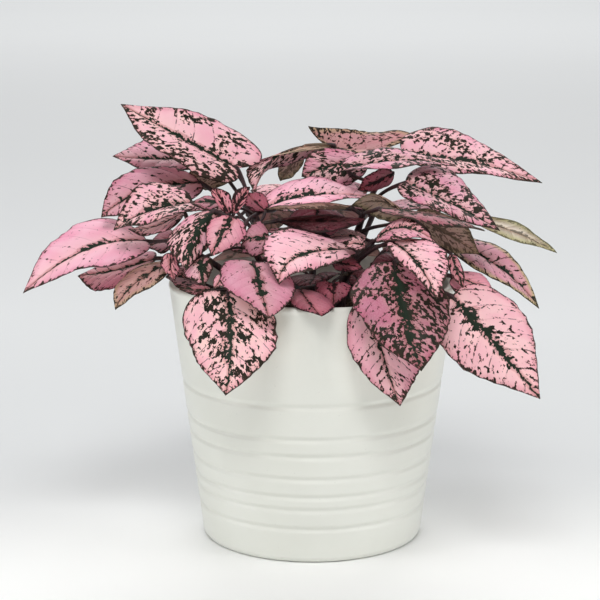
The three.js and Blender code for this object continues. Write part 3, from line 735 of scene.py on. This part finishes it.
def packCells(sizes, gap=0.6):
    # places rectangles on shelves in the unit square, tallest first, and returns (scale, corners)
    order = sorted(range(len(sizes)), key=lambda i: -sizes[i][1])
    side = math.sqrt(sum((w + gap) * (h + gap) for w, h in sizes))
    while True:
        corners, x, y, shelf = {}, gap, gap, 0
        for i in order:
            w, h = sizes[i]
            if x + w + gap > side:
                x, y, shelf = gap, y + shelf + gap, 0
            corners[i] = (x, y)
            x += w + gap
            shelf = max(shelf, h)
        if y + shelf + gap <= side:
            return 1 / side, corners
        side *= 1.02


def growLeaves(name, blades):
    bm = bmesh.new()
    tags = dict(spot="leafSpot", edge="leafEdge", tone="leafTone", splash="leafSplash", tint="leafTint")
    layers = {key: bm.verts.layers.float_vector.new(tag) for key, tag in tags.items()}
    layers["bake"] = bm.loops.layers.uv.new("OFBake")
    shares = (1, leafMesh["underside"])     # the undersides get smaller cells in the map
    scale, corners = packCells([(blade.width * n, blade.length * n) for blade in blades for n in shares])
    for k, blade in enumerate(blades):
        addBlade(bm, blade, layers, [(*corners[2 * k + n], shares[n]) for n in (0, 1)], scale)
    settle(bm, "leaves_" + name, leafMaterials, "stem_" + name)


stalkSize = dict(
    foot=80, soilLine=102, radius=1.7, thinning=0.7, steps=24, sides=12, node=0.14, nodeLength=0.03,
    leafStalk=0.95, smallStalk=0.72, smallLeaf=24, leafSteps=14, leafSides=10, fork=0.75, handle=0.35)


def bezier(a, b, c, d, s):
    return a * (1 - s) ** 3 + b * (3 * s * (1 - s) ** 2) + c * (3 * s * s * (1 - s)) + d * s ** 3


def stemPoint(stem, s):
    foot = Vector((*stem["foot"], stalkSize["soilLine"]))       # the stems stand straight up to here
    return bezier(foot, Vector(stem["handles"][0]), Vector(stem["handles"][1]), Vector(stem["tip"]), s)


def stalkCurve(stem, blade):
    # a leaf's stalk forks forwards off the stem and comes up to the blade from below
    start = stemPoint(stem, blade.at)
    ahead = (stemPoint(stem, min(1, blade.at + 0.01)) - stemPoint(stem, max(0, blade.at - 0.01))).normalized()
    span = blade.base - start
    reach = stalkSize["handle"] * span.length
    span.normalize()
    fork = (span + ahead * stalkSize["fork"]).normalized()
    rise = (Vector((0, 0, -0.15)) - span - blade.along * 0.6).normalized()
    return start, start + fork * reach, blade.base + rise * reach, blade.base


def addTube(bm, points, radii, sides):
    # a round tapering shoot: a ring drawn out along its points, closed at both ends
    ring = bmesh.ops.create_circle(bm, segments=sides, radius=1, cap_ends=True)["verts"]
    cap = ring[0].link_faces[0]
    rings = [ring]
    for step in range(1, len(points)):
        made = bmesh.ops.extrude_face_region(bm, geom=[cap])["geom"]
        if step > 1:        # only the first cap stays, as the foot
            bmesh.ops.delete(bm, geom=[cap], context="FACES_ONLY")
        cap = next(g for g in made if isinstance(g, bmesh.types.BMFace))
        rings.append(list(cap.verts))
    across = Vector((0.3, 1, 0.1))
    for i, loop in enumerate(rings):
        along = (points[min(i + 1, len(points) - 1)] - points[max(i - 1, 0)]).normalized()
        across = (across - along * across.dot(along)).normalized()
        other = along.cross(across)
        for k, v in enumerate(loop):
            turn = 2 * math.pi * k / sides
            v.co = (points[i] + (across * math.cos(turn) + other * math.sin(turn)) * radii[i]) * mm


def growStalks(name, stem, blades):
    bm = bmesh.new()
    shares = [s / stalkSize["steps"] for s in range(stalkSize["steps"] + 1)]
    points = [Vector((*stem["foot"], stalkSize["foot"]))] + [stemPoint(stem, s) for s in shares]
    radii = [stalkSize["radius"]]
    for s in shares:        # it thins towards its tip and swells where a leaf leaves it
        swelling = sum(math.exp(-((s - blade.at) / stalkSize["nodeLength"]) ** 2) for blade in blades)
        radii.append(stalkSize["radius"] - stalkSize["thinning"] * s ** 2 + stalkSize["node"] * swelling)
    addTube(bm, points, radii, stalkSize["sides"])
    shares = [s / stalkSize["leafSteps"] for s in range(stalkSize["leafSteps"] + 1)]
    for blade in blades:
        thick = stalkSize["smallStalk"] if blade.length < stalkSize["smallLeaf"] else stalkSize["leafStalk"]
        curve = stalkCurve(stem, blade)
        points = [bezier(*curve, s) for s in shares]
        radii = [thick * (1.15 - 0.3 * math.sin(math.pi * s)) for s in shares]
        under = -(blade.leftUp + blade.rightUp).normalized() * thick        # it ends under the midrib
        points += [blade.midrib(0.03) + under * 0.35, blade.midrib(0.07) + under * 0.3]
        radii += [0.8 * thick, 0.35 * thick]
        addTube(bm, points, radii, stalkSize["leafSides"])
    bmesh.ops.recalc_face_normals(bm, faces=bm.faces)
    settle(bm, "stalks_" + name, [stalkMaterial], "stem_" + name)


def growStem(stem):
    blades = [Blade(*leaf) for leaf in stem["leaves"]]
    growLeaves(stem["name"], blades)
    growStalks(stem["name"], stem, blades)
    print("stem", stem["name"], "has", len(blades), "leaves")


# each leafy stem, in mm: its foot in the soil, the two handles and the tip of its curve, and its leaves, each
# with its place on the stem, its base, middle, tip, left and right edge where it is widest, and its kind
frontLeftStem = dict(
    name="front_left", foot=(-14, -14), handles=((-15, -16, 118), (-24, -28, 134)), tip=(-35, -38, 153),
    leaves=(
        (0.98, (-36, -38, 154), (-39, -36, 160), (-43, -34, 165), (-43, -32, 160), (-35, -40, 162), "young"),
        (0.98, (-34, -38, 154), (-31, -36, 160), (-27, -32, 165), (-34, -38, 163), (-29, -34, 159), "young"),
        (0.93, (-43, -36, 155), (-50, -44, 147), (-54, -46, 131), (-43, -40, 143), (-62, -34, 145), "flecked"),
        (0.93, (-35, -40, 153), (-39, -48, 147), (-43, -52, 138), (-29, -46, 145), (-45, -44, 150), "rosy"),
        (0.85, (-53, -14, 155), (-70, -23, 153), (-87, -28, 145), (-64, -33, 151), (-73, -13, 164), "dots"),
        (0.85, (-19, -12, 153), (3, -6, 157), (32, -4, 154), (-6, 8, 163), (0, -20, 156), "banded"),
        (0.70, (-19, -30, 141), (-25, -34, 143), (-31, -38, 140), (-25, -40, 136), (-24, -26, 149), "plum"),
        (0.70, (-46, -42, 136), (-48, -44, 131), (-46, -45, 124), (-43, -44, 131), (-56, -41, 130), "flecked"),
        (0.40, (-25, -50, 135), (-22, -64, 127), (-18, -80, 117), (-7, -60, 127), (-39, -64, 132), "rose"),
        (0.50, (-37, -48, 130), (-39, -51, 128), (-42, -54, 124), (-36, -52, 127), (-42, -48, 128), "clear"),
        (0.30, (-36, -56, 123), (-34, -72, 107), (-36, -84, 85), (-14, -74, 110), (-55, -60, 109), "heavy"),
        (0.30, (-43, -46, 122), (-49, -51, 123), (-57, -53, 124), (-50, -55, 122), (-50, -48, 125), "dusky"),
        (0.80, (-21, -18, 152), (-25, -20, 156), (-29, -22, 161), (-29, -26, 155), (-21, -12, 158), "maroon"),
    ))
growStem(frontLeftStem)

leftStem = dict(
    name="left", foot=(-26, -2), handles=((-28, -2, 116), (-40, -6, 124)), tip=(-60, -12, 137),
    leaves=(
        (1.00, (-74, -10, 137), (-98, -16, 135), (-128, -24, 116), (-90, -29, 130), (-105, 0, 144), "clear"),
        (0.95, (-62, -24, 134), (-62, -28, 129), (-60, -30, 123), (-58, -32, 130), (-67, -24, 130), "young"),
        (0.90, (-57, -14, 151), (-68, -22, 146), (-81, -24, 145), (-66, -30, 144), (-70, -14, 147), "bright"),
        (0.90, (-61, 8, 135), (-67, 6, 134), (-75, 4, 132), (-67, -4, 131), (-68, 14, 138), "dusk"),
        (0.75, (-71, 2, 127), (-88, 0, 122), (-106, -4, 120), (-90, -10, 115), (-86, 12, 127), "mauve"),
        (0.75, (-63, -14, 128), (-77, -20, 121), (-87, -26, 109), (-72, -26, 119), (-83, -14, 123), "tan"),
        (0.20, (-48, -18, 119), (-56, -20, 122), (-65, -22, 123), (-56, -32, 120), (-56, -8, 126), "dusky"),
    ))
growStem(leftStem)

backLeftStem = dict(
    name="back_left", foot=(-16, 6), handles=((-18, 6, 120), (-22, 0, 138)), tip=(-29, 2, 156),
    leaves=(
        (0.97, (-34, 4, 168), (-58, -2, 182), (-85, -6, 198), (-61, -14, 173), (-39, 14, 187), "netted"),
        (0.97, (-36, 14, 165), (-47, 13, 164), (-58, 10, 163), (-47, 6, 170), (-46, 18, 156), "brown"),
        (0.60, (-49, 24, 170), (-69, 18, 170), (-91, 14, 172), (-65, 10, 165), (-70, 32, 178), "mauve"),
        (0.55, (-51, 8, 161), (-74, -4, 159), (-94, -12, 148), (-66, -10, 152), (-80, 2, 168), "mauve"),
        (0.80, (-40, -22, 156), (-46, -26, 157), (-53, -28, 157), (-45, -32, 155), (-46, -20, 159), "dusk"),
        (0.70, (-15, -18, 148), (5, -22, 148), (24, -20, 149), (6, -12, 149), (5, -30, 145), "inner"),
    ))
growStem(backLeftStem)

frontStem = dict(
    name="front", foot=(6, -14), handles=((8, -16, 114), (16, -24, 126)), tip=(26, -29, 140),
    leaves=(
        (0.99, (23, -34, 139), (19, -38, 141), (14, -40, 140), (19, -42, 139), (19, -34, 144), "bright"),
        (0.99, (24, -16, 139), (15, -20, 141), (6, -24, 140), (14, -26, 139), (16, -12, 143), "bright"),
        (0.97, (28, -33, 142), (38, -44, 149), (53, -54, 144), (38, -38, 152), (36, -56, 146), "warm"),
        (0.93, (17, -30, 137), (-5, -56, 139), (-14, -64, 128), (5, -58, 135), (-15, -46, 148), "soft"),
        (0.75, (34, -50, 144), (43, -66, 139), (51, -88, 127), (55, -66, 144), (37, -66, 138), "bright"),
        (0.80, (0, -14, 143), (-10, -18, 143), (-21, -22, 144), (-10, -24, 142), (-10, -12, 144), "dusk"),
        (0.70, (9, -30, 131), (15, -34, 131), (22, -38, 130), (16, -28, 134), (14, -40, 129), "maroon"),
        (0.60, (9, -44, 125), (9, -50, 122), (9, -56, 117), (17, -46, 123), (1, -46, 123), "maroon"),
        (0.40, (-5, -48, 123), (-2, -63, 121), (4, -71, 116), (9, -64, 120), (-10, -60, 120), "berry"),
    ))
growStem(frontStem)

frontRightStem = dict(
    name="front_right", foot=(20, -10), handles=((22, -12, 114), (36, -24, 126)), tip=(52, -33, 142),
    leaves=(
        (0.98, (45, -14, 150), (58, -17, 143), (74, -20, 133), (53, -8, 135), (62, -26, 151), "brown"),
        (0.95, (60, -40, 137), (62, -43, 131), (65, -46, 123), (65, -42, 131), (59, -42, 130), "rosy"),
        (0.75, (35, -50, 135), (38, -76, 119), (45, -90, 97), (57, -72, 121), (17, -74, 122), "deep"),
        (0.70, (61, -34, 126), (71, -38, 123), (81, -42, 115), (73, -28, 126), (66, -46, 118), "rosy"),
        (0.55, (60, -48, 120), (75, -60, 105), (97, -66, 79), (88, -50, 116), (57, -62, 98), "ribbed"),
        (0.30, (25, -64, 122), (29, -72, 103), (37, -78, 79), (44, -75, 103), (15, -68, 103), "buff"),
        (0.12, (23, -13, 118), (19, -10, 121), (15, -6, 124), (18, -15, 117), (23, -4, 124), "inner"),
    ))
growStem(frontRightStem)

rightStem = dict(
    name="right", foot=(26, 4), handles=((28, 4, 116), (44, -2, 130)), tip=(60, -8, 147),
    leaves=(
        (0.98, (68, -10, 149), (89, -16, 143), (108, -22, 134), (85, -14, 140), (89, -18, 147), "paleAndLit"),
        (0.95, (62, 4, 134), (81, -17, 128), (100, -27, 110), (84, -8, 134), (75, -26, 126), "orchid"),
        (0.15, (27, 0, 125), (33, -4, 131), (41, -10, 128), (37, 4, 134), (32, -12, 127), "inner"),
    ))
growStem(rightStem)

backRightStem = dict(
    name="back_right", foot=(12, 8), handles=((13, 9, 120), (21, 11, 140)), tip=(29, 8, 160),
    leaves=(
        (0.80, (41, -14, 164), (57, -24, 158), (81, -40, 147), (61, -6, 168), (47, -34, 157), "sprinkled"),
        (0.97, (16, 0, 168), (39, -4, 172), (64, -11, 171), (28, 10, 176), (32, -16, 171), "sprinkled"),
        (0.95, (36, -3, 167), (29, -5, 164), (20, -8, 160), (31, 0, 159), (27, -11, 169), "maroon"),
        (0.90, (42, 20, 172), (68, 14, 170), (104, 6, 161), (61, 30, 183), (64, 4, 166), "dots"),
        (0.65, (29, -35, 156), (51, -40, 154), (74, -46, 148), (49, -30, 152), (48, -48, 152), "umber"),
        (0.65, (17, -20, 154), (-2, -28, 155), (-20, -30, 155), (-1, -34, 158), (-1, -18, 153), "clear"),
        (0.60, (42, -4, 148), (32, -10, 155), (17, -16, 154), (29, -20, 159), (30, -5, 147), "tan"),
    ))
growStem(backRightStem)

middleStem = dict(
    name="middle", foot=(0, 18), handles=((0, 19, 120), (0, 25, 145)), tip=(4, 29, 167),
    leaves=(
        (0.98, (24, 20, 170), (10, 15, 168), (-5, 12, 163), (15, 12, 159), (3, 16, 175), "sprinkled"),
        (0.98, (10, 22, 176), (-13, 16, 174), (-26, 6, 156), (-13, 24, 167), (-23, 12, 171), "dots"),
        (0.95, (35, 36, 173), (14, 34, 172), (-2, 30, 184), (18, 28, 172), (34, 44, 180), "tawny"),
        (0.93, (-6, 36, 171), (-10, 34, 165), (-15, 32, 158), (-15, 26, 168), (-6, 40, 162), "brown"),
        (0.75, (-10, 34, 150), (-18, 46, 154), (-28, 64, 148), (-27, 37, 151), (-6, 52, 150), "bright"),
        (0.75, (8, 38, 152), (16, 52, 155), (26, 70, 146), (3, 56, 151), (25, 43, 151), "dusk"),
        (0.70, (2, 14, 148), (2, 5, 141), (4, -4, 127), (16, 7, 142), (-12, 7, 142), "maroon"),
        (0.15, (2, 6, 118), (1, -4, 120), (-2, -16, 116), (14, -3, 121), (-14, -4, 118), "inner"),
        (0.20, (-9, 8, 122), (-16, 1, 123), (-23, -6, 121), (-16, -5, 118), (-14, 6, 127), "brown"),
    ))
growStem(middleStem)

rearLeftStem = dict(
    name="rear_left", foot=(-14, 24), handles=((-16, 27, 116), (-24, 36, 130)), tip=(-33, 43, 147),
    leaves=(
        (0.97, (-34, 36, 146), (-48, 40, 148), (-66, 46, 142), (-49, 26, 144), (-41, 52, 145), "dots"),
        (0.90, (-36, 48, 138), (-50, 64, 136), (-66, 86, 122), (-59, 51, 134), (-38, 68, 133), "bright"),
        (0.85, (-18, 54, 141), (-20, 75, 139), (-20, 98, 121), (-33, 71, 137), (-6, 73, 137), "rear"),
        (0.50, (-34, 48, 124), (-42, 64, 112), (-48, 74, 94), (-53, 52, 113), (-28, 70, 113), "blushed"),
        (0.30, (-22, 28, 122), (-34, 22, 130), (-47, 16, 130), (-33, 12, 128), (-37, 33, 128), "dusk"),
        (0.50, (-12, 50, 130), (-12, 70, 119), (-10, 84, 99), (-26, 65, 119), (2, 69, 119), "dots"),
    ))
growStem(rearLeftStem)

rearRightStem = dict(
    name="rear_right", foot=(14, 26), handles=((16, 29, 116), (24, 37, 130)), tip=(31, 40, 147),
    leaves=(
        (0.97, (34, 34, 146), (50, 40, 148), (70, 44, 140), (43, 52, 144), (50, 26, 145), "sprinkled"),
        (0.90, (30, 46, 140), (46, 60, 138), (64, 78, 122), (33, 68, 135), (53, 47, 134), "dots"),
        (0.85, (14, 54, 142), (14, 76, 138), (12, 100, 120), (0, 72, 135), (28, 71, 136), "blushed"),
        (0.50, (38, 44, 126), (50, 58, 114), (58, 68, 96), (38, 66, 114), (59, 46, 115), "heavy"),
        (0.30, (13, 36, 122), (4, 41, 130), (-8, 44, 132), (5, 32, 133), (6, 50, 128), "rear"),
        (0.50, (16, 52, 129), (20, 72, 117), (28, 84, 98), (7, 72, 117), (33, 66, 117), "rear"),
    ))
growStem(rearRightStem)
